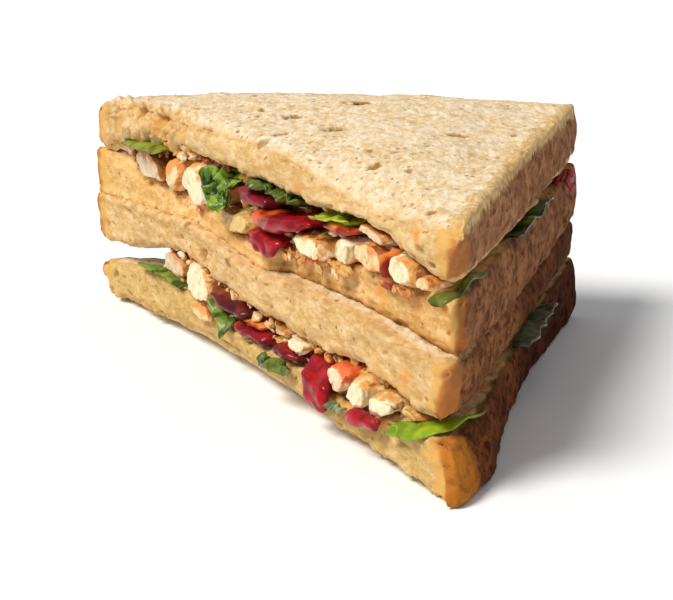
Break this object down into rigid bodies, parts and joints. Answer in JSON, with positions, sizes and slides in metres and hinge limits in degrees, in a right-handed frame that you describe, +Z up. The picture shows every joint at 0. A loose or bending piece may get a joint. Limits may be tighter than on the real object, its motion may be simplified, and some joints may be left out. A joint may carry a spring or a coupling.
{
  "type": "chicken tikka sandwich",
  "caption": "Triangular chicken tikka sandwich: stacked bread halves with chicken, red pepper and salad leaves showing at the cut face and between the crusts.",
  "frame": {"origin": "centre of the bounding box on the surface the sandwich rests on, at the flat underside of the bottom slice", "axes": "+Z up, +X along the cut face from the far tip to the near tip, -Y out of the cut face, +Y towards the loaf's corner"},
  "size_m": [0.168, 0.0884, 0.0528],
  "materials": {
    "bread": "open crumb, matt",
    "sauced_filling": "moist",
    "chicken": "moist, fibrous",
    "red_pepper": "glossy, wet",
    "salad_leaf": "satin, veined"
  },
  "bodies": {
    "root": {"bread_base": "bread", "bread_lower_lid": "bread", "bread_top": "bread", "bread_upper_base": "bread", "chicken_bit_lower": "chicken", "chicken_lower_1": "chicken", "chicken_lower_2": "chicken", "chicken_lower_3": "chicken", "chicken_lower_4": "chicken", "chicken_lower_5": "chicken", "chicken_lower_6": "chicken", "chicken_lower_7": "chicken", "chicken_lower_8": "chicken", "chicken_upper_1": "chicken", "chicken_upper_10": "chicken", "chicken_upper_2": "chicken", "chicken_upper_3": "chicken", "chicken_upper_4": "chicken", "chicken_upper_5": "chicken", "chicken_upper_6": "chicken", "chicken_upper_7": "chicken", "chicken_upper_8": "chicken", "chicken_upper_9": "chicken", "filling_lower": "sauced_filling", "filling_upper": "sauced_filling", "leaf_back_lower": "salad_leaf", "leaf_back_upper": "salad_leaf", "leaf_crust_lower": "salad_leaf", "leaf_crust_upper": "salad_leaf", "leaf_lower_1": "salad_leaf", "leaf_lower_2": "salad_leaf", "leaf_lower_3": "salad_leaf", "leaf_lower_4": "salad_leaf", "leaf_tip_lower": "salad_leaf", "leaf_tip_upper": "salad_leaf", "leaf_upper_1": "salad_leaf", "leaf_upper_2": "salad_leaf", "leaf_upper_3": "salad_leaf", "leaf_upper_4": "salad_leaf", "pepper_cap_lower": "red_pepper", "pepper_crust_upper": "red_pepper", "pepper_lower_1": "red_pepper", "pepper_lower_2": "red_pepper", "pepper_lower_3": "red_pepper", "pepper_lower_4": "red_pepper", "pepper_ring_upper": "red_pepper", "pepper_skin_lower": "red_pepper", "pepper_upper_1": "red_pepper", "pepper_upper_2": "red_pepper", "pepper_upper_3": "red_pepper", "pepper_upper_4": "red_pepper", "pepper_upper_5": "red_pepper", "strip_upper": "sauced_filling"}
  },
  "joints": []
}
